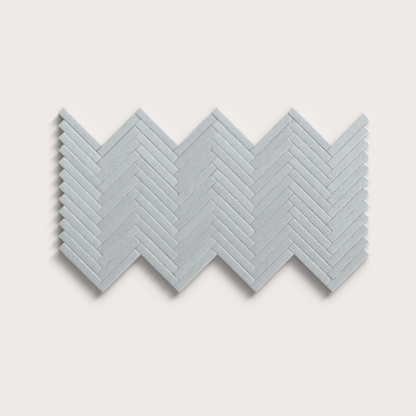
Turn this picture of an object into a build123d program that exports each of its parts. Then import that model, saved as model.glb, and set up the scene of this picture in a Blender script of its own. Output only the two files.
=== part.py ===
"""Herringbone mosaic sheet: narrow glazed tiles in eight columns, bonded face up to one mesh backing.

The tiles of the first column fall to the right, those of the second rise to the right, and so on in
turn. Each tile's end butts against the long side of a tile in the next column, and the tiles' ends make
the teeth along the left and right sides of the sheet.

Places on the sheet are measured along its two diagonals, falling and rising to the right, because every
edge of every tile runs along one of them.
"""

from build123d import *
from math import sqrt
import os

# Tile, mm
tile_length = 80.4
tile_width = 12.4
tile_thickness = 6.0
arris_radius = 0.8  # rounding where the glazed face meets the sides
heel_chamfer = 0.4  # relief along the edges of the back
side_draft = 1.5  # degrees, the sides lean in towards the back

# Pattern
joint_width = 0.6
tiles_per_column = 12
column_pairs = 4  # each pair of columns makes one V

# Backing, mm
mesh_thickness = 0.5
mesh_setback = 2.5  # the mesh is trimmed back this far inside the sheet's outline

row_pitch = tile_width + joint_width  # from one tile to the next down a column, across the tiles
pair_pitch = tile_length + joint_width  # from one V to the next, along each diagonal
last_step = (tiles_per_column - 1) * row_pitch  # from the first tile of a column to the last
face_height = mesh_thickness + tile_thickness

# Middle of the sheet's box, seen from the upper end of the first tile's lower edge
middle_x = ((2 * column_pairs - 1) * pair_pitch + tile_width + tile_length) / sqrt(2) / 2
middle_y = -(pair_pitch + 2 * last_step) / sqrt(2) / 2


def on_sheet(falling, rising):
    """X and Y of a place given by its distances along the falling and the rising diagonal."""
    return (falling + rising) / sqrt(2) - middle_x, (rising - falling) / sqrt(2) - middle_y


def tile_places(column):
    """Centre and turn of each tile in a column, from the top of the sheet down."""
    pair, rises = divmod(column, 2)
    places = []
    for row in range(tiles_per_column):
        step = row * row_pitch
        if rises:
            falling = (pair + 1) * pair_pitch + step + tile_width / 2
            rising = pair * pair_pitch - step + tile_length / 2
        else:
            falling = pair * pair_pitch + step + tile_length / 2
            rising = pair * pair_pitch - step + tile_width / 2
        turn = 45 if rises else -45
        places.append(Location((*on_sheet(falling, rising), 0), (0, 0, turn)))
    return places


def mesh_corners():
    """Corners of the sheet without its teeth: the top edge from left to right, then the bottom edge from
    right to left."""
    top = [on_sheet(joint_width, tile_width)]
    bottom = [on_sheet(tiles_per_column * row_pitch, -last_step)]
    for pair in range(column_pairs):
        start = pair * pair_pitch
        if pair:
            top.append(on_sheet(start, start + tile_width))
            bottom.append(on_sheet(start + last_step + tile_width, start - last_step))
        top.append(on_sheet(start + pair_pitch, start + tile_width))
        bottom.append(on_sheet(start + pair_pitch + last_step + tile_width, start - last_step))
    end = column_pairs * pair_pitch
    top.append(on_sheet(end, end - 2 * joint_width))
    bottom.append(on_sheet(end + last_step + tile_width, end - joint_width - tiles_per_column * row_pitch))
    return [*top, *reversed(bottom)]


os.makedirs("parts", exist_ok=True)

with BuildPart() as mesh_backing:
    with BuildSketch():
        with BuildLine():
            Polyline(*mesh_corners(), close=True)
        make_face()
        offset(amount=-mesh_setback, kind=Kind.INTERSECTION)
    extrude(amount=mesh_thickness)
mesh_backing.part.label = "mesh_backing"
export_step(mesh_backing.part, "parts/mesh_backing.step")

# One tile on the mesh, its centre over the origin. The sides lean in below the rounded arris.
face_plane = Plane.XY.offset(face_height)
arris_foot = face_plane.offset(-arris_radius)
with BuildPart() as tile:
    with BuildSketch(face_plane):
        Rectangle(tile_length, tile_width)
    extrude(amount=-tile_thickness)
    sides = tile.faces().filter_by(Axis.Z, reverse=True)
    draft(sides, neutral_plane=arris_foot, angle=-side_draft)
    with BuildPart(mode=Mode.INTERSECT) as rounded_block:
        with BuildSketch(face_plane):
            Rectangle(tile_length, tile_width)
        extrude(amount=-tile_thickness)
        fillet(rounded_block.faces().sort_by(Axis.Z)[-1].edges(), arris_radius)
    chamfer(tile.faces().sort_by(Axis.Z)[0].edges(), heel_chamfer)

for column in range(2 * column_pairs):
    name = f"tile_column_{column + 1}"
    with BuildPart() as tile_column:
        with Locations(*tile_places(column)):
            add(tile.part)
    tile_column.part.label = name
    export_step(tile_column.part, f"parts/{name}.step")
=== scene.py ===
import math

import bmesh
import bpy
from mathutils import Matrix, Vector


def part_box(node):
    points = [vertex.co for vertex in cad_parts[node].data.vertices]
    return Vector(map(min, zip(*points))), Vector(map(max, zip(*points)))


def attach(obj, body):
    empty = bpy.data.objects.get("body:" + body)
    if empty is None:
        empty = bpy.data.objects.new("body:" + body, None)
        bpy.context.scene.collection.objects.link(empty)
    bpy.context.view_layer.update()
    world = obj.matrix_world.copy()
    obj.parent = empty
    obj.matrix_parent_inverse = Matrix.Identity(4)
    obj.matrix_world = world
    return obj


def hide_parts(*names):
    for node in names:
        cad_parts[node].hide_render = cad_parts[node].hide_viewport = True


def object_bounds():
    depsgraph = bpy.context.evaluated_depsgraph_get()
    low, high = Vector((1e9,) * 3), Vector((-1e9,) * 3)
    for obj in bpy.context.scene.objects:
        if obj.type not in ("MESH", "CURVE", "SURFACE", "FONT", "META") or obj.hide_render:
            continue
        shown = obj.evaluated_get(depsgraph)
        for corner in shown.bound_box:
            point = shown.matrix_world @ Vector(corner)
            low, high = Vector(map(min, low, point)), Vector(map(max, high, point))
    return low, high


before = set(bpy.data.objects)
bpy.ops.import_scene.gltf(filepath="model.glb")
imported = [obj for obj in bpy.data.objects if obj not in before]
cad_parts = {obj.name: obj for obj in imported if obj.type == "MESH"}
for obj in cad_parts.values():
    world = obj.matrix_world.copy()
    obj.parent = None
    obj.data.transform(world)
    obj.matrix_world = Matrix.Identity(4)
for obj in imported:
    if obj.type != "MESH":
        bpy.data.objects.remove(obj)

cadBounds = [list(corner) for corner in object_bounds()]
scene = bpy.context.scene
mm = 0.001
noiseSpan = (0.3, 0.7)  # nearly all values of a noise lie between these
nodeGrid = {"across": 200, "down": 260, "inRow": 12}


# Node helpers

def put(tree, socket, value):  # a value is set on the socket, an output is linked to it
    if isinstance(value, bpy.types.NodeSocket):
        tree.links.new(value, socket)
    else:
        socket.default_value = value


def addNode(tree, kind, feeds=None, **settings):
    node = tree.nodes.new(kind)
    row, place = divmod(len(tree.nodes), nodeGrid["inRow"])
    node.location = (nodeGrid["across"] * place, -nodeGrid["down"] * row)
    for name, value in settings.items():
        setattr(node, name, value)
    for name, value in (feeds or {}).items():
        put(tree, next(s for s in node.inputs if s.name == name and s.enabled), value)
    return node


def out(node, name=None):  # the node's first live output, or the one of that name
    return next(s for s in node.outputs if s.enabled and name in (None, s.name))


def calc(tree, operation, *values, kind="ShaderNodeMath"):
    node = addNode(tree, kind, operation=operation)
    for socket, value in zip(node.inputs, values):
        put(tree, socket, value)
    return out(node)


def calcVector(tree, operation, *values):
    return calc(tree, operation, *values, kind="ShaderNodeVectorMath")


def joinXyz(tree, x=0.0, y=0.0, z=0.0):
    return out(addNode(tree, "ShaderNodeCombineXYZ", {"X": x, "Y": y, "Z": z}))


def newTree(name, kind, inputs, outputs):
    tree = bpy.data.node_groups.new(name, kind)
    for label, socketType, default in inputs:
        socket = tree.interface.new_socket(name=label, in_out="INPUT", socket_type=socketType)
        if default is not None:
            socket.default_value = default
    for label, socketType in outputs:
        tree.interface.new_socket(name=label, in_out="OUTPUT", socket_type=socketType)
    return tree, tree.nodes.new("NodeGroupInput"), tree.nodes.new("NodeGroupOutput")


# Geometry node helpers

def meshLine(tree, count, step, start=(0, 0, 0)):
    feeds = {"Count": count, "Start Location": start, "Offset": step}
    return out(addNode(tree, "GeometryNodeMeshLine", feeds, mode="OFFSET"))


def instancesOn(tree, points, instance, euler=(0, 0, 0), scale=(1, 1, 1)):
    rotation = out(addNode(tree, "FunctionNodeEulerToRotation", {"Euler": euler}))
    return out(addNode(tree, "GeometryNodeInstanceOnPoints", {
        "Points": points, "Instance": instance, "Rotation": rotation, "Scale": scale,
    }))


def realized(tree, geometry):
    return out(addNode(tree, "GeometryNodeRealizeInstances", {"Geometry": geometry}))


def moveBy(tree, geometry, offset):
    return out(addNode(tree, "GeometryNodeSetPosition", {"Geometry": geometry, "Offset": offset}))


def position(tree):
    return out(addNode(tree, "GeometryNodeInputPosition"))


def writeAttribute(tree, geometry, name, value, kind="FLOAT", domain="POINT"):
    feeds = {"Geometry": geometry, "Name": name, "Value": value}
    return out(addNode(tree, "GeometryNodeStoreNamedAttribute", feeds, data_type=kind, domain=domain))


def readAttribute(tree, name, kind="FLOAT"):
    return out(addNode(tree, "GeometryNodeInputNamedAttribute", {"Name": name}, data_type=kind))


def chance(tree, seed, draw, low, high, kind="FLOAT_VECTOR"):  # draw tells one random value from the others
    feeds = {"Min": low, "Max": high, "Seed": calc(tree, "ADD", seed, draw)}
    return out(addNode(tree, "FunctionNodeRandomValue", feeds, data_type=kind))


def waver(tree, place, scale, reach, detail=1.0):  # a smooth offset in X and Y, up to half the reach each way
    noise = addNode(tree, "ShaderNodeTexNoise", {"Vector": place, "Scale": scale, "Detail": detail})
    centred = calcVector(tree, "SUBTRACT", noise.outputs["Color"], (0.5, 0.5, 0.5))
    return calcVector(tree, "MULTIPLY", centred, joinXyz(tree, reach, reach))


def finishTree(tree, geometry, material, result):
    feeds = {"Geometry": realized(tree, geometry), "Material": material}
    tree.links.new(out(addNode(tree, "GeometryNodeSetMaterial", feeds)), result.inputs[0])
    return tree


def newPiece(name, mesh):
    piece = bpy.data.objects.new(name, mesh)
    scene.collection.objects.link(piece)
    return piece


def runTree(name, mesh, tree, values):  # the tree's result as a plain mesh object
    source = newPiece(name + "Source", mesh)
    modifier = source.modifiers.new(tree.name, "NODES")
    modifier.node_group = tree
    for item in tree.interface.items_tree:
        if item.in_out == "INPUT" and item.name in values:
            modifier[item.identifier] = values[item.name]
    depsgraph = bpy.context.evaluated_depsgraph_get()
    result = bpy.data.meshes.new_from_object(
        source.evaluated_get(depsgraph), preserve_all_data_layers=True, depsgraph=depsgraph
    )
    bpy.data.objects.remove(source)
    result.name = name
    return newPiece(name, result)


def storeFloats(mesh, name, values):
    mesh.attributes.new(name, "FLOAT", "POINT").data.foreach_set("value", values)


# Shader group: cloudy variation at two sizes, for the glaze, the yarn and the glue

cloudLook = {
    "cloudDetail": 3.0,
    "grainDetail": 2.0,
    "roughness": 0.55,
}


def makeCloudGroup():
    tree, given, result = newTree(
        "cloudAndGrain", "ShaderNodeTree",
        [("Vector", "NodeSocketVector", None), ("Cloud Size", "NodeSocketFloat", 0.006),
         ("Grain Size", "NodeSocketFloat", 0.0008)],
        [("Cloud", "NodeSocketFloat"), ("Grain", "NodeSocketFloat")],
    )
    for name, detail in (("Cloud", cloudLook["cloudDetail"]), ("Grain", cloudLook["grainDetail"])):
        noise = addNode(tree, "ShaderNodeTexNoise", {
            "Vector": given.outputs["Vector"],
            "Scale": calc(tree, "DIVIDE", 1.0, given.outputs[name + " Size"]),
            "Detail": detail, "Roughness": cloudLook["roughness"],
        })
        tree.links.new(noise.outputs["Fac"], result.inputs[name])
    return tree


cloudGroup = makeCloudGroup()


# Shader helpers

def cloudAndGrain(tree, place, look):  # both values of the group, at the sizes that the look gives
    node = addNode(tree, "ShaderNodeGroup", {
        "Vector": place, "Cloud Size": look["cloudSize"], "Grain Size": look["grainSize"],
    }, node_tree=cloudGroup)
    return node.outputs["Cloud"], node.outputs["Grain"]


def attribute(tree, name, output="Fac"):
    return out(addNode(tree, "ShaderNodeAttribute", attribute_name=name, attribute_type="GEOMETRY"), output)


def mixColour(tree, factor, first, second):
    return out(addNode(tree, "ShaderNodeMix", {"Factor": factor, "A": first, "B": second}, data_type="RGBA"))


def ramp(tree, value, low, high, first=0.0, last=1.0):  # smooth step from first to last
    return out(addNode(tree, "ShaderNodeMapRange", {
        "Value": value, "From Min": low, "From Max": high, "To Min": first, "To Max": last,
    }, interpolation_type="SMOOTHSTEP"))


def setBump(tree, shader, height, distance, strength):
    bump = addNode(tree, "ShaderNodeBump", {"Height": height, "Distance": distance, "Strength": strength})
    put(tree, shader.inputs["Normal"], out(bump))


def newMaterial(name):
    material = bpy.data.materials.new(name)
    material.use_nodes = True
    return material, material.node_tree, material.node_tree.nodes["Principled BSDF"]


# Glazed tile material

glaze = {
    "pale": (0.450, 0.485, 0.498, 1.0),  # where the glaze lies thick and even
    "deep": (0.406, 0.449, 0.464, 1.0),  # clouds and the pool along the edge
    "deepShare": 0.8,  # how near the deepest place comes to that colour
    "cloudSize": 7 * mm,
    "cloudSpan": (0.38, 0.66),  # the noise's values from pale to deep
    "poolReach": (1.6, 4.2),  # mm from the edge
    "poolShare": 0.55,
    "grainSize": 2.1 * mm,
    "speckle": (0.885, 1.115),  # how far the fine mottle darkens and lightens the glaze
    "toneSpread": 0.20,  # from the darkest tile to the lightest
    "thin": (0.72, 0.74, 0.71, 1.0),  # over the arris the pale body shows through the thin glaze, and it is made paler still as a painted highlight along the edges
    "thinReach": (0.2, 1.3),  # mm from the edge
    "thinFrom": (4.9 * mm, 5.4 * mm),  # height on the side
    "patchSpan": (0.25, 0.6),  # the noise's values from a thick patch to a thin one
    "patchShow": (0.25, 1.0),  # how pale the arris gets there, from body showing through and from painted highlight
    "body": (0.30, 0.27, 0.235, 1.0),  # unglazed porcelain
    "bodyGrain": 0.86,  # how dark its grains are against it
    "bodyRoughness": 0.82,
    "glazeStops": 4.8 * mm,  # height on the side where the glaze ends
    "stopWander": 2.4 * mm,
    "stopBlur": 0.15 * mm,
    "roughness": (0.32, 0.41),
    "peelHeight": 0.022 * mm,
    "peelClouds": 2.5,  # how much of the orange peel is cloud, against 1 of grain
    "ior": 1.58,
}


def makeGlaze():
    material, tree, shader = newMaterial("tileGlaze")
    local = attribute(tree, "tilePlace", "Vector")
    fromEdge = attribute(tree, "fromEdge")
    place = calcVector(tree, "ADD", local, attribute(tree, "tileShift", "Vector"))
    cloud, grain = cloudAndGrain(tree, place, glaze)

    # Colour over the face: clouds, then the pool inside the arris, then the tile's own tone
    pool = calc(tree, "MULTIPLY", ramp(tree, fromEdge, *glaze["poolReach"], 1.0, 0.0), glaze["poolShare"])
    depth = calc(tree, "MAXIMUM", ramp(tree, cloud, *glaze["cloudSpan"]), pool)
    face = mixColour(tree, calc(tree, "MULTIPLY", depth, glaze["deepShare"]), glaze["pale"], glaze["deep"])
    darkest, lightest = 1 - glaze["toneSpread"] / 2, 1 + glaze["toneSpread"] / 2
    tone = ramp(tree, attribute(tree, "tileTone"), 0.0, 1.0, darkest, lightest)
    shade = calc(tree, "MULTIPLY", ramp(tree, grain, *noiseSpan, *glaze["speckle"]), tone)
    face = out(addNode(tree, "ShaderNodeHueSaturation", {"Color": face, "Value": shade}))

    # The arris, where fired glaze runs thin, patchily, and is painted paler still as a highlight along the
    # edges
    height = out(addNode(tree, "ShaderNodeSeparateXYZ", {"Vector": local}), "Z")
    nearEdge = ramp(tree, fromEdge, *glaze["thinReach"], 1.0, 0.0)
    thinEdge = calc(tree, "MULTIPLY", nearEdge, ramp(tree, height, *glaze["thinFrom"]))
    patchy = ramp(tree, cloud, *glaze["patchSpan"], *glaze["patchShow"])
    # the pale arris, thin glaze and painted highlight together, weaker on a column's top tile
    thin = calc(tree, "MULTIPLY", thinEdge, calc(tree, "MULTIPLY", patchy, attribute(tree, "edgeWorn")))
    coated = mixColour(tree, thin, face, glaze["thin"])

    # The bare body below the line where the glaze stops
    wander = calc(tree, "MULTIPLY", calc(tree, "SUBTRACT", cloud, 0.5), glaze["stopWander"])
    covered = ramp(tree, calc(tree, "ADD", height, wander),
                   glaze["glazeStops"] - glaze["stopBlur"], glaze["glazeStops"] + glaze["stopBlur"])
    darkGrain = [glaze["bodyGrain"] * part for part in glaze["body"][:3]] + [1]
    body = mixColour(tree, grain, glaze["body"], darkGrain)
    put(tree, shader.inputs["Base Color"], mixColour(tree, covered, body, coated))
    satin = ramp(tree, cloud, *noiseSpan, *glaze["roughness"])
    put(tree, shader.inputs["Roughness"], ramp(tree, covered, 0.0, 1.0, glaze["bodyRoughness"], satin))

    # Orange peel of the fired glaze, and the grain of the body
    peel = calc(tree, "ADD", calc(tree, "MULTIPLY", cloud, glaze["peelClouds"]), grain)
    setBump(tree, shader, peel, glaze["peelHeight"], 1.0)
    shader.inputs["IOR"].default_value = glaze["ior"]
    return material


glazeMaterial = makeGlaze()
print("glaze material done")


# One tile, its back on z = 0

tileForm = {
    "joint": 0.6 * mm,
    "slack": 0.06 * mm,
    "cornerRadius": 0.7 * mm,
    "leastRadius": 0.25,  # share of the corner's radius that the rings further in keep
    "cornerSteps": 3,
    "lengthSpans": 10,
    "endSpans": 2,
    "arrisWide": 1.1 * mm,  # the rounded edge, measured in from the side
    "arrisDeep": 0.55 * mm,  # and down from the face
    "arrisSteps": 5,
    "crown": 0.05 * mm,
    "faceRings": (0.9 * mm, 2.9 * mm),  # further in than the arris
    "draft": math.radians(1.5),
    "sideRing": 0.4,  # where a ring lies on the side, as a share of its height
    "heel": 0.4 * mm,
    "sharpFrom": math.radians(32),  # an edge that turns more is shaded as a sharp one
    "keys": 3,  # grooves in the back that key into the adhesive
    "keyPitch": 3.0 * mm,
    "keyWidth": 1.6 * mm,
    "keyWall": 0.3 * mm,
    "keyDepth": 0.35 * mm,
    "keyStops": 4.0 * mm,  # short of the tile's ends
}


def ringPoints(halfLength, halfWidth, radius):  # a rounded rectangle, anticlockwise
    corners = ((1, -1, -90), (1, 1, 0), (-1, 1, 90), (-1, -1, 180))
    points = []
    for number, (sideX, sideY, firstAngle) in enumerate(corners):
        middle = Vector((sideX * (halfLength - radius), sideY * (halfWidth - radius)))
        for step in range(tileForm["cornerSteps"] + 1):
            angle = math.radians(firstAngle + 90 * step / tileForm["cornerSteps"])
            points.append(middle + radius * Vector((math.cos(angle), math.sin(angle))))
        nextX, nextY, nextAngle = corners[(number + 1) % 4]
        target = Vector((nextX * (halfLength - radius), nextY * (halfWidth - radius)))
        target += radius * Vector((math.cos(math.radians(nextAngle)), math.sin(math.radians(nextAngle))))
        spans = tileForm["endSpans"] if nextX == sideX else tileForm["lengthSpans"]
        start = points[-1].copy()
        points += [start.lerp(target, span / spans) for span in range(1, spans)]
    return points


def tileProfile(thickness):  # inset and height from the heel up over the arris to the face
    form = tileForm
    arrisFoot = thickness - form["crown"] - form["arrisDeep"]
    lean = math.tan(form["draft"])
    rows = [(lean * arrisFoot + form["heel"], 0.0), (lean * (arrisFoot - form["heel"]), form["heel"]),
            (lean * arrisFoot * (1 - form["sideRing"]), arrisFoot * form["sideRing"]), (0.0, arrisFoot)]
    for step in range(1, form["arrisSteps"] + 1):
        angle = math.pi / 2 * step / form["arrisSteps"]
        inset = form["arrisWide"] * (1 - math.cos(angle))
        rows.append((inset, arrisFoot + form["arrisDeep"] * math.sin(angle)))
    for further in form["faceRings"]:
        left = (1 - further / form["faceRings"][-1]) ** 2
        rows.append((form["arrisWide"] + further, thickness - form["crown"] * left))
    return rows


def addBackKeys(mesh, reach, outerEdges):  # shallow grooves, filled in round them up to the outer edges
    form = tileForm
    tiny = 1e-7
    alongs = [-reach, -reach + form["keyWall"], reach - form["keyWall"], reach]
    acrosses = []
    for key in range(form["keys"]):
        middle = (key - (form["keys"] - 1) / 2) * form["keyPitch"]
        for side in (-1, 1):
            edge = middle + side * form["keyWidth"] / 2
            steps = [(edge, form["keyDepth"]), (edge + side * form["keyWall"], 0.0)]
            acrosses += steps if side > 0 else steps[::-1]
    grid = [[mesh.verts.new((x, y, depth if abs(x) < reach else 0.0)) for y, depth in acrosses]
            for x in alongs]
    for low, high in zip(grid, grid[1:]):
        for column in range(len(acrosses) - 1):
            mesh.faces.new((low[column], low[column + 1], high[column + 1], high[column]))
    mesh.edges.index_update()
    innerEdges = [edge for edge in mesh.edges if edge.is_boundary and edge not in outerEdges
                  and abs(edge.verts[0].co.z) < tiny and max(abs(v.co.x) for v in edge.verts) <= reach + tiny
                  and max(abs(v.co.y) for v in edge.verts) <= abs(acrosses[0][0]) + tiny]
    bmesh.ops.triangle_fill(mesh, edges=outerEdges + innerEdges, use_beauty=True, normal=(0, 0, -1))


def makeTileMesh(length, width, thickness):
    mesh = bmesh.new()
    rows = tileProfile(thickness)
    rings = []
    for inset, height in rows:
        halfLength, halfWidth = length / 2 - inset, width / 2 - inset
        radius = max(tileForm["cornerRadius"] - inset, tileForm["leastRadius"] * tileForm["cornerRadius"])
        rings.append([mesh.verts.new((x, y, height)) for x, y in ringPoints(halfLength, halfWidth, radius)])
    count = len(rings[0])
    for lower, upper in zip(rings, rings[1:]):
        for i in range(count):
            mesh.faces.new((lower[i], lower[(i + 1) % count], upper[(i + 1) % count], upper[i]))
    face = mesh.faces.new(rings[-1])
    bmesh.ops.triangulate(mesh, faces=[face])
    outerEdges = [mesh.edges.get((rings[0][i], rings[0][(i + 1) % count])) for i in range(count)]
    addBackKeys(mesh, length / 2 - rows[0][0] - tileForm["keyStops"], outerEdges)
    bmesh.ops.recalc_face_normals(mesh, faces=mesh.faces)
    for face in mesh.faces:
        face.smooth = True
    for edge in mesh.edges:
        edge.smooth = edge.calc_face_angle(0.0) < tileForm["sharpFrom"]
    made = bpy.data.meshes.new("tileShape")
    mesh.to_mesh(made)
    mesh.free()
    # What the glaze follows: each point's place on the tile and, in mm, how far in from the side it lies
    places = made.attributes.new("tilePlace", "FLOAT_VECTOR", "POINT")
    places.data.foreach_set("vector", [c for v in made.vertices for c in v.co])
    insets = [min(length / 2 - abs(v.co.x), width / 2 - abs(v.co.y)) / mm for v in made.vertices]
    storeFloats(made, "fromEdge", insets)
    return made


# A column of tiles, each one a little off its place as they are when they are glued up

columnPlay = {
    "count": 12,
    "place": 0.12 * mm,
    "turn": math.radians(0.07),
    "tilt": math.radians(0.05),
    "endTilt": 0.4,  # share of the tilt that lifts a tile's end
    "thin": (0.004, 0.018),  # share of the thickness that a tile lacks
    "waviness": 0.14 * mm,
    "waveLength": 22 * mm,
    "noiseRoom": 3.0,  # metres of noise, over which the tiles' own parts of it are spread
    "columnTones": (0.68, 0.36, 0.66, 0.34, 0.62, 0.34, 0.56, 0.98),  # each column's own tone
    "columnToneFade": 0.9,  # and how far that tone fades towards the middle one down the column
    "tonePlay": 0.17,
    "topEdge": 0.15,  # how much of the pale arris, thin glaze and painted highlight, a column's top tile keeps against 1 on the others, since its edge is the sheet's outer edge
    "seed": 7,
    "seedStep": 100,  # from column to column
}


def makeColumnTree():
    tree, given, result = newTree(
        "tileColumn", "GeometryNodeTree",
        [("Tile", "NodeSocketGeometry", None), ("Count", "NodeSocketInt", 12),
         ("First Tile", "NodeSocketVector", None), ("Step", "NodeSocketVector", None),
         ("Turn", "NodeSocketFloat", 0.0), ("Place Play", "NodeSocketFloat", 0.0),
         ("Turn Play", "NodeSocketFloat", 0.0), ("Tilt Play", "NodeSocketFloat", 0.0),
         ("Least Thin", "NodeSocketFloat", 0.0), ("Most Thin", "NodeSocketFloat", 0.0),
         ("Waviness", "NodeSocketFloat", 0.0), ("Wave Length", "NodeSocketFloat", 0.02),
         ("Box Tone", "NodeSocketFloat", 0.5), ("Box Mix", "NodeSocketFloat", 0.0),
         ("Tone Play", "NodeSocketFloat", 0.0), ("Top Edge", "NodeSocketFloat", 1.0),
         ("Seed", "NodeSocketInt", 0), ("Glaze", "NodeSocketMaterial", None)],
        [("Column", "NodeSocketGeometry")],
    )
    get = given.outputs
    seed = get["Seed"]
    placeDraw, turnDraw, thinDraw, toneDraw, shiftDraw = 11, 23, 31, 43, 59

    # Each tile a little out of place, turned, tilted and thin
    places = meshLine(tree, get["Count"], get["Step"], get["First Tile"])
    aside = calcVector(tree, "MULTIPLY", chance(tree, seed, placeDraw, (-1, -1, 0), (1, 1, 0)),
                       joinXyz(tree, get["Place Play"], get["Place Play"]))
    endTilt = calc(tree, "MULTIPLY", get["Tilt Play"], columnPlay["endTilt"])
    swing = calcVector(tree, "MULTIPLY", chance(tree, seed, turnDraw, (-1, -1, -1), (1, 1, 1)),
                       joinXyz(tree, get["Tilt Play"], endTilt, get["Turn Play"]))
    turned = calcVector(tree, "ADD", swing, joinXyz(tree, z=get["Turn"]))
    lack = chance(tree, seed, thinDraw, get["Least Thin"], get["Most Thin"], "FLOAT")
    size = joinXyz(tree, 1.0, 1.0, calc(tree, "SUBTRACT", 1.0, lack))
    tiles = instancesOn(tree, moveBy(tree, places, aside), get["Tile"], turned, size)

    # Each tile's tone: its column's, less so towards the foot of the column, and its own
    index = out(addNode(tree, "GeometryNodeInputIndex"))
    down = calc(tree, "DIVIDE", index, calc(tree, "SUBTRACT", get["Count"], 1.0))
    fromColumnTone = calc(tree, "MULTIPLY", calc(tree, "SUBTRACT", get["Box Tone"], 0.5),
                   calc(tree, "SUBTRACT", 1.0, calc(tree, "MULTIPLY", down, get["Box Mix"])))
    ownTone = calc(tree, "MULTIPLY", chance(tree, seed, toneDraw, -1.0, 1.0, "FLOAT"), get["Tone Play"])
    tone = calc(tree, "ADD", calc(tree, "ADD", 0.5, fromColumnTone), ownTone)
    shift = chance(tree, seed, shiftDraw, (0, 0, 0), (columnPlay["noiseRoom"],) * 3)
    # The pale arris, partly a painted highlight, is kept weaker on the column's top tile
    paleArrisShare = calc(tree, "MAXIMUM", get["Top Edge"], calc(tree, "MINIMUM", index, 1.0))
    tiles = writeAttribute(tree, tiles, "tileTone", tone, domain="INSTANCE")
    tiles = writeAttribute(tree, tiles, "tileShift", shift, "FLOAT_VECTOR", "INSTANCE")
    tiles = writeAttribute(tree, tiles, "edgeWorn", paleArrisShare, domain="INSTANCE")

    # The sides aren't quite straight: a slow wave, different on each tile
    place = calcVector(tree, "ADD", position(tree), readAttribute(tree, "tileShift", "FLOAT_VECTOR"))
    wave = waver(tree, place, calc(tree, "DIVIDE", 1.0, get["Wave Length"]), get["Waviness"])
    return finishTree(tree, moveBy(tree, realized(tree, tiles), wave), get["Glaze"], result)


def columnPlaces(node):  # the first tile's centre, the step down the column and the tile's length and width
    low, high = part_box(node)
    span = high.x - low.x  # of one tile that lies at 45 degrees, so of the column too
    step = (high.y - low.y - span) / (columnPlay["count"] - 1)
    width = step / math.sqrt(2) - tileForm["joint"]
    first = Vector(((low.x + high.x) / 2, high.y - span / 2, low.z))
    return first, Vector((0, -step, 0)), span * math.sqrt(2) - width, width, high.z - low.z


columnTree = makeColumnTree()
columnCount = sum(name.startswith("tile_column_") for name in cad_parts)
tileSpots = []  # centre and turn of every tile, for the glue behind them
for number in range(columnCount):
    node = f"tile_column_{number + 1}"
    first, step, length, width, thickness = columnPlaces(node)
    turn = math.radians(45 if number % 2 else -45)
    tileShape = makeTileMesh(length - tileForm["slack"], width - tileForm["slack"], thickness)
    column = runTree(f"tileColumn{number + 1}", tileShape, columnTree, {
        "Count": columnPlay["count"], "First Tile": first, "Step": step, "Turn": turn,
        "Place Play": columnPlay["place"], "Turn Play": columnPlay["turn"],
        "Tilt Play": columnPlay["tilt"], "Least Thin": columnPlay["thin"][0],
        "Most Thin": columnPlay["thin"][1], "Waviness": columnPlay["waviness"],
        "Wave Length": columnPlay["waveLength"], "Box Tone": columnPlay["columnTones"][number],
        "Box Mix": columnPlay["columnToneFade"], "Tone Play": columnPlay["tonePlay"],
        "Top Edge": columnPlay["topEdge"], "Seed": columnPlay["seed"] + columnPlay["seedStep"] * number,
        "Glaze": glazeMaterial,
    })
    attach(column, "root")
    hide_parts(node)
    tileSpots += [(first + row * step, turn) for row in range(columnPlay["count"])]
print("tile columns done:", columnCount)


# The net on the back: flat weft yarns along X, and warp yarns along Y in pairs that twist round each weft

net = {
    "cell": 5.0 * mm,
    "weftWidth": 1.0 * mm,
    "weftThick": 0.17 * mm,
    "warpWidth": 0.52 * mm,
    "warpThick": 0.13 * mm,
    "twist": 0.34 * mm,  # how far each yarn of a pair swings to the side
    "lift": 0.165 * mm,  # and above or below the weft
    "waviness": 1.1 * mm,  # the net is never laid quite straight
    "waveLength": 75 * mm,
    "yarnSides": 6,
    "pointsPerCell": 2,
    "rayReach": 10 * mm,  # above and below, when a point looks for the backing's outline
}

yarnLook = {
    "colour": (0.80, 0.81, 0.77, 1.0),
    "fibreGapShade": (0.56, 0.57, 0.53, 1.0),  # painted shade between the fibres
    "cloudSize": 5 * mm,
    "grainSize": 0.5 * mm,
    "girth": 2.5 * mm,  # once round a yarn
    "fibres": 9,  # stripes seen round a yarn
    "fibreDrift": 1.2,  # how far they wander sideways
    "fibreFray": 0.8,
    "fibreSpan": (-0.6, 1.2),  # from a gap to the top of a fibre
    "fibreHeight": 0.03 * mm,
    "fibreBump": 0.8,
    "roughness": (0.38, 0.6),
}


def makeYarn():
    material, tree, shader = newMaterial("resinGlassYarn")
    around = attribute(tree, "aroundYarn")
    place = joinXyz(tree, attribute(tree, "alongYarn"), calc(tree, "MULTIPLY", around, yarnLook["girth"]))
    cloud, grain = cloudAndGrain(tree, place, yarnLook)
    drift = calc(tree, "MULTIPLY", cloud, yarnLook["fibreDrift"])
    turns = calc(tree, "ADD", calc(tree, "MULTIPLY", around, yarnLook["fibres"]), drift)
    stripe = calc(tree, "SINE", calc(tree, "MULTIPLY", turns, 2 * math.pi))
    frayed = calc(tree, "ADD", stripe, calc(tree, "MULTIPLY", grain, yarnLook["fibreFray"]))
    fibre = ramp(tree, frayed, *yarnLook["fibreSpan"])
    # painted shade in the gaps between the fibres
    put(tree, shader.inputs["Base Color"], mixColour(tree, fibre, yarnLook["fibreGapShade"], yarnLook["colour"]))
    put(tree, shader.inputs["Roughness"], ramp(tree, cloud, *noiseSpan, *yarnLook["roughness"]))
    setBump(tree, shader, fibre, yarnLook["fibreHeight"], yarnLook["fibreBump"])
    return material


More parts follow.
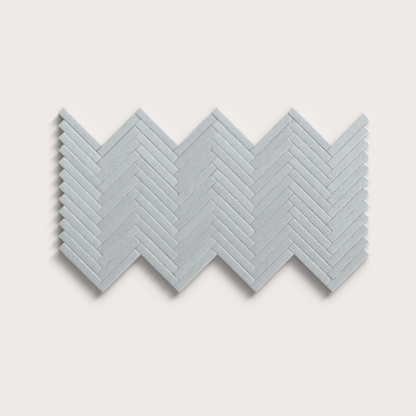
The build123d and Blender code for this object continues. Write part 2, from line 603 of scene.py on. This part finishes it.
def makeYarnTree():
    tree, given, result = newTree(
        "netYarns", "GeometryNodeTree",
        [("Geometry", "NodeSocketGeometry", None), ("Outline", "NodeSocketObject", None),
         ("Yarns", "NodeSocketInt", 2), ("First Yarn", "NodeSocketVector", None),
         ("Yarn Step", "NodeSocketVector", None), ("Points", "NodeSocketInt", 2),
         ("Point Step", "NodeSocketVector", None), ("Cell", "NodeSocketFloat", 0.005),
         ("Twist", "NodeSocketFloat", 0.0), ("Lift", "NodeSocketFloat", 0.0),
         ("Waviness", "NodeSocketFloat", 0.0), ("Wave Length", "NodeSocketFloat", 0.1),
         ("Width", "NodeSocketFloat", 0.001), ("Thickness", "NodeSocketFloat", 0.0002),
         ("Sides", "NodeSocketInt", 6), ("Yarn", "NodeSocketMaterial", None)],
        [("Yarns", "NodeSocketGeometry")],
    )
    get = given.outputs
    starts = meshLine(tree, get["Yarns"], get["Yarn Step"], get["First Yarn"])
    strand = meshLine(tree, get["Points"], get["Point Step"])
    strands = realized(tree, instancesOn(tree, starts, strand))

    # How far along its yarn each point lies
    here = position(tree)
    forward = calcVector(tree, "NORMALIZE", get["Point Step"])
    along = calcVector(tree, "DOT_PRODUCT", calcVector(tree, "SUBTRACT", here, get["First Yarn"]), forward)
    marked = writeAttribute(tree, strands, "alongYarn", along)

    # The pair's twist, half a turn for each cell, and the slow wave of the whole net
    cells = calc(tree, "DIVIDE", readAttribute(tree, "alongYarn"), get["Cell"])
    angle = calc(tree, "MULTIPLY", cells, math.pi)
    swing = calc(tree, "MULTIPLY", calc(tree, "SINE", angle), get["Twist"])
    sideways = calcVector(tree, "MULTIPLY", calcVector(tree, "NORMALIZE", get["Yarn Step"]),
                          joinXyz(tree, swing, swing, swing))
    upward = joinXyz(tree, z=calc(tree, "MULTIPLY", calc(tree, "COSINE", angle), get["Lift"]))
    wave = waver(tree, here, calc(tree, "DIVIDE", 1.0, get["Wave Length"]), get["Waviness"])
    waved = moveBy(tree, marked, calcVector(tree, "ADD", calcVector(tree, "ADD", sideways, upward), wave))

    # Cut to the outline: a point stays where the backing lies straight below
    backing = addNode(tree, "GeometryNodeObjectInfo", {"Object": get["Outline"]})
    ray = addNode(tree, "GeometryNodeRaycast", {
        "Target Geometry": out(backing, "Geometry"),
        "Source Position": calcVector(tree, "ADD", here, (0, 0, net["rayReach"])),
        "Ray Direction": (0, 0, -1), "Ray Length": 2 * net["rayReach"],
    })
    outside = addNode(tree, "FunctionNodeBooleanMath", {"Boolean": out(ray, "Is Hit")}, operation="NOT")
    cut = addNode(tree, "GeometryNodeDeleteGeometry", {"Geometry": waved, "Selection": out(outside)})
    path = addNode(tree, "GeometryNodeMeshToCurve", {"Mesh": out(cut)})
    upright = addNode(tree, "GeometryNodeSetCurveNormal", {"Curve": out(path)}, mode="Z_UP")

    # A flat tube along each strand, from a circle 1 across
    circle = addNode(tree, "GeometryNodeCurvePrimitiveCircle", {"Resolution": get["Sides"], "Radius": 0.5})
    flat = addNode(tree, "GeometryNodeTransform", {
        "Geometry": out(circle), "Scale": joinXyz(tree, get["Width"], get["Thickness"], 1.0),
    })
    factor = out(addNode(tree, "GeometryNodeSplineParameter"), "Factor")
    tube = addNode(tree, "GeometryNodeCurveToMesh", {
        "Curve": out(upright), "Profile Curve": writeAttribute(tree, out(flat), "aroundYarn", factor),
        "Fill Caps": True,
    })
    smooth = addNode(tree, "GeometryNodeSetShadeSmooth", {"Geometry": out(tube)})
    return finishTree(tree, out(smooth), get["Yarn"], result)


def makeNet():
    tree = makeYarnTree()
    low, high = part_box("mesh_backing")
    cell, pointStep = net["cell"], net["cell"] / net["pointsPerCell"]
    across, up = (math.ceil((high[i] - low[i]) / cell / 2) for i in (0, 1))
    corner = (low + high) / 2 - Vector((across * cell, up * cell, 0))
    shared = {"Outline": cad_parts["mesh_backing"], "First Yarn": corner, "Cell": cell,
              "Waviness": net["waviness"], "Wave Length": net["waveLength"], "Sides": net["yarnSides"],
              "Yarn": makeYarn()}
    weft = {"Yarns": 2 * up + 1, "Yarn Step": Vector((0, cell, 0)),
            "Points": 2 * across * net["pointsPerCell"] + 1, "Point Step": Vector((pointStep, 0, 0)),
            "Width": net["weftWidth"], "Thickness": net["weftThick"]}
    warp = {"Yarns": 2 * across + 1, "Yarn Step": Vector((cell, 0, 0)),
            "Points": 2 * up * net["pointsPerCell"] + 1, "Point Step": Vector((0, pointStep, 0)),
            "Width": net["warpWidth"], "Thickness": net["warpThick"]}
    empty = bpy.data.meshes.new("netStart")
    for name, values, side in (("netWeft", weft, 0), ("netWarpOver", warp, 1), ("netWarpUnder", warp, -1)):
        values = {**shared, **values, "Twist": side * net["twist"], "Lift": side * net["lift"]}
        piece = runTree(name, empty, tree, values)
        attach(piece, "root")
        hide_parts("mesh_backing")
        print(name, len(piece.data.polygons), "faces")


makeNet()


# Glue that holds the net: flattened dabs on the back of every tile

glue = {
    "perTile": 5,
    "spacing": 15.5 * mm,
    "width": 8.6 * mm,
    "height": 0.9 * mm,  # half of it lies within the tile's back
    "play": (1.6 * mm, 1.0 * mm),
    "mostTurn": 6.28,  # radians, so a dab may lie any way round
    "leastSize": (0.75, 0.6, 0.85),  # against the width and height above
    "mostSize": (1.1, 0.95, 1.0),
    "segments": 16,
    "rings": 6,
    "ragged": 2.4 * mm,
    "raggedScale": 260.0,  # waves to the metre
    "raggedDetail": 2.0,
    "seed": 3,
}

glueLook = {
    "colour": (0.74, 0.71, 0.62, 1.0),
    "thinColour": (0.55, 0.51, 0.43, 1.0),
    "cloudSize": 4 * mm,
    "grainSize": 0.6 * mm,
    "roughness": (0.28, 0.5),
    "skinClouds": 2.0,  # how much of the skin's relief is cloud, against 1 of grain
    "skinHeight": 0.08 * mm,
    "skinBump": 0.7,
}


def makeGlueMaterial():
    material, tree, shader = newMaterial("milkyGlue")
    cloud, grain = cloudAndGrain(tree, out(addNode(tree, "ShaderNodeTexCoord"), "Object"), glueLook)
    milky = ramp(tree, cloud, *noiseSpan)
    put(tree, shader.inputs["Base Color"], mixColour(tree, milky, glueLook["thinColour"], glueLook["colour"]))
    put(tree, shader.inputs["Roughness"], ramp(tree, grain, *noiseSpan, *glueLook["roughness"]))
    height = calc(tree, "ADD", calc(tree, "MULTIPLY", cloud, glueLook["skinClouds"]), grain)
    setBump(tree, shader, height, glueLook["skinHeight"], glueLook["skinBump"])
    return material


def makeGlueTree():
    tree, given, result = newTree(
        "glueDabs", "GeometryNodeTree",
        [("Tiles", "NodeSocketGeometry", None), ("Per Tile", "NodeSocketInt", 5),
         ("Spacing", "NodeSocketFloat", 0.015), ("Size", "NodeSocketVector", None),
         ("Least Size", "NodeSocketVector", None), ("Most Size", "NodeSocketVector", None),
         ("Play", "NodeSocketVector", None), ("Segments", "NodeSocketInt", 16),
         ("Rings", "NodeSocketInt", 6), ("Ragged", "NodeSocketFloat", 0.001),
         ("Seed", "NodeSocketInt", 0), ("Glue", "NodeSocketMaterial", None)],
        [("Dabs", "NodeSocketGeometry")],
    )
    get = given.outputs
    seed = get["Seed"]
    placeDraw, turnDraw, sizeDraw = 5, 7, 9

    # A row of spots along each tile
    halfRow = calc(tree, "MULTIPLY", calc(tree, "SUBTRACT", get["Per Tile"], 1.0), 0.5)
    start = calc(tree, "MULTIPLY", calc(tree, "MULTIPLY", halfRow, get["Spacing"]), -1.0)
    row = meshLine(tree, get["Per Tile"], joinXyz(tree, get["Spacing"]), joinXyz(tree, start))
    tileTurn = joinXyz(tree, z=readAttribute(tree, "tileTurn"))
    spots = realized(tree, instancesOn(tree, get["Tiles"], row, tileTurn))

    # On each a ball, made 1 across, then flattened, moved a little, turned and made ragged
    aside = calcVector(tree, "MULTIPLY", chance(tree, seed, placeDraw, (-1, -1, 0), (1, 1, 0)), get["Play"])
    ball = addNode(tree, "GeometryNodeMeshUVSphere", {
        "Segments": get["Segments"], "Rings": get["Rings"], "Radius": 0.5,
    })
    dab = addNode(tree, "GeometryNodeTransform", {"Geometry": out(ball), "Scale": get["Size"]})
    turned = chance(tree, seed, turnDraw, (0, 0, 0), (0, 0, glue["mostTurn"]))
    size = chance(tree, seed, sizeDraw, get["Least Size"], get["Most Size"])
    dabs = realized(tree, instancesOn(tree, moveBy(tree, spots, aside), out(dab), turned, size))
    wave = waver(tree, position(tree), glue["raggedScale"], get["Ragged"], glue["raggedDetail"])
    smooth = addNode(tree, "GeometryNodeSetShadeSmooth", {"Geometry": moveBy(tree, dabs, wave)})
    return finishTree(tree, out(smooth), get["Glue"], result)


def makeGlue():
    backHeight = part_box("mesh_backing")[1].z  # of the tiles' backs, which stand on the mesh
    spots = bpy.data.meshes.new("glueSpots")
    spots.from_pydata([(spot.x, spot.y, backHeight) for spot, turn in tileSpots], [], [])
    storeFloats(spots, "tileTurn", [turn for spot, turn in tileSpots])
    dabs = runTree("glueDabs", spots, makeGlueTree(), {
        "Per Tile": glue["perTile"], "Spacing": glue["spacing"],
        "Size": Vector((glue["width"], glue["width"], glue["height"])),
        "Least Size": Vector(glue["leastSize"]), "Most Size": Vector(glue["mostSize"]),
        "Play": Vector((*glue["play"], 0)), "Segments": glue["segments"], "Rings": glue["rings"],
        "Ragged": glue["ragged"], "Seed": glue["seed"], "Glue": makeGlueMaterial(),
    })
    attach(dabs, "root")
    print("glue", len(dabs.data.polygons), "faces")


makeGlue()


# Floor, light and camera

studio = {
    "floorColour": (0.359, 0.346, 0.337, 1.0),
    "floorSize": 60.0,
    # What a lamp lights: the floor, the sheet, or the sheet's colour or gloss alone. Azimuth from +X towards
    # +Y, elevation and apparent width in degrees, strength
    "lamps": (
        ("lowWindowOnFloor", "floor", 49, 17, 15, 8.8),
        ("highWindowOnFloor", "floor", 70, 21, 22, 5.5),
        ("sideWindowOnFloor", "floor", 96, 20, 20, 1.9),
        ("roomOnFloor", "floor", 60, 85, 90, 0.8),
        ("farRoomOnFloor", "floor", 320, 50, 60, 1.0),
        ("windowOnTiles", "colour", 43, 17, 18, 5.1),
        ("roomOnTiles", "colour", 300, 8, 40, 1.4),
        ("windowSheen", "gloss", 43, 46, 44, 1.0),
        ("farSheen", "gloss", 330, 50, 40, 2.0),
    ),
    "lampDistance": 2.0,  # where they hang in the viewport, since a sun lights the same from anywhere
    "softboxes": (  # near the sheet, so it falls off over the tiles: as above, then distance, sides, watts
        ("topSoftbox", "sheet", 93, 62, 0.62, (1.4, 0.3), 1.95),
    ),
    "skyColour": (1.0, 0.985, 0.97, 1.0),
    "skyStrength": 0.23,
    "backdrop": (0.855, 0.823, 0.799, 1.0),
}


def makeFloor():
    half = studio["floorSize"] / 2
    corners = [(-half, -half, 0), (half, -half, 0), (half, half, 0), (-half, half, 0)]
    mesh = bpy.data.meshes.new("floor")
    mesh.from_pydata(corners, [], [(0, 1, 2, 3)])
    floor = newPiece("floor", mesh)
    material, tree, shader = newMaterial("floorPaint")
    shader.inputs["Base Color"].default_value = studio["floorColour"]
    shader.inputs["Roughness"].default_value = 1.0
    shader.inputs["Specular IOR Level"].default_value = 0.0
    mesh.materials.append(material)


def makeLamps():
    lit = {"floor": bpy.data.collections.new("floorOnly"), "sheet": bpy.data.collections.new("sheetOnly")}
    for piece in [thing for thing in scene.objects if thing.type == "MESH"]:
        lit["floor" if piece.name == "floor" else "sheet"].objects.link(piece)

    def hangLamp(light, target, azimuth, elevation, distance):
        lamp = bpy.data.objects.new(light.name, light)
        scene.collection.objects.link(lamp)
        lamp.light_linking.receiver_collection = lit["floor" if target == "floor" else "sheet"]
        lamp.visible_camera = False
        lamp.visible_diffuse = target != "gloss"
        lamp.visible_glossy = target != "colour"  # a strong window would burn out in the glaze from across
        around, up = math.radians(azimuth), math.radians(elevation)
        towards = Vector((math.cos(up) * math.cos(around), math.cos(up) * math.sin(around), math.sin(up)))
        lamp.location = towards * distance
        lamp.rotation_euler = towards.to_track_quat("Z", "Y").to_euler()

    for name, target, azimuth, elevation, width, strength in studio["lamps"]:
        light = bpy.data.lights.new(name, "SUN")
        light.energy = strength
        light.angle = math.radians(width)
        hangLamp(light, target, azimuth, elevation, studio["lampDistance"])
    for name, target, azimuth, elevation, distance, sides, watts in studio["softboxes"]:
        light = bpy.data.lights.new(name, "AREA")
        light.shape = "RECTANGLE"
        light.energy = watts
        light.size, light.size_y = sides
        hangLamp(light, target, azimuth, elevation, distance)


def makeSky():  # one sky gives the light, and the camera sees another behind the floor
    world = bpy.data.worlds.new("studioSky")
    scene.world = world
    world.use_nodes = True
    tree = world.node_tree
    light = tree.nodes["Background"]
    light.inputs["Color"].default_value = studio["skyColour"]
    light.inputs["Strength"].default_value = studio["skyStrength"]
    seen = addNode(tree, "ShaderNodeBackground", {"Color": studio["backdrop"], "Strength": 1.0})
    mix = addNode(tree, "ShaderNodeMixShader")
    cameraRay = out(addNode(tree, "ShaderNodeLightPath"), "Is Camera Ray")
    for socket, value in zip(mix.inputs, (cameraRay, out(light), out(seen))):
        put(tree, socket, value)
    tree.links.new(out(mix), tree.nodes["World Output"].inputs["Surface"])


photoView = {
    "imageSide": 416,
    "sheetCentre": (214.07, 199.9),  # pixel
    "roll": -0.0016,
    "scale": 0.6687 / mm,  # pixels to the metre at the tiles' faces
    "lens": 85.0,
    "sensor": 36.0,
    "clip": (0.05, 100),
}


def makeCamera():
    data = bpy.data.cameras.new("photoCamera")
    data.lens = photoView["lens"]
    data.sensor_width = photoView["sensor"]
    data.clip_start, data.clip_end = photoView["clip"]
    camera = bpy.data.objects.new("photoCamera", data)
    scene.collection.objects.link(camera)
    low, high = cadBounds
    rightBy, downBy = ((pixel - photoView["imageSide"] / 2) / photoView["scale"]
                       for pixel in photoView["sheetCentre"])
    viewWidth = photoView["imageSide"] / photoView["scale"]
    camera.location = (
        (low[0] + high[0]) / 2 - rightBy,
        (low[1] + high[1]) / 2 + downBy,
        high[2] + viewWidth * photoView["lens"] / photoView["sensor"],
    )
    camera.rotation_euler = (0, 0, photoView["roll"])
    scene.camera = camera


makeFloor()
makeLamps()
makeSky()
makeCamera()
scene.view_settings.view_transform = "Standard"
print("stage, light and camera done")
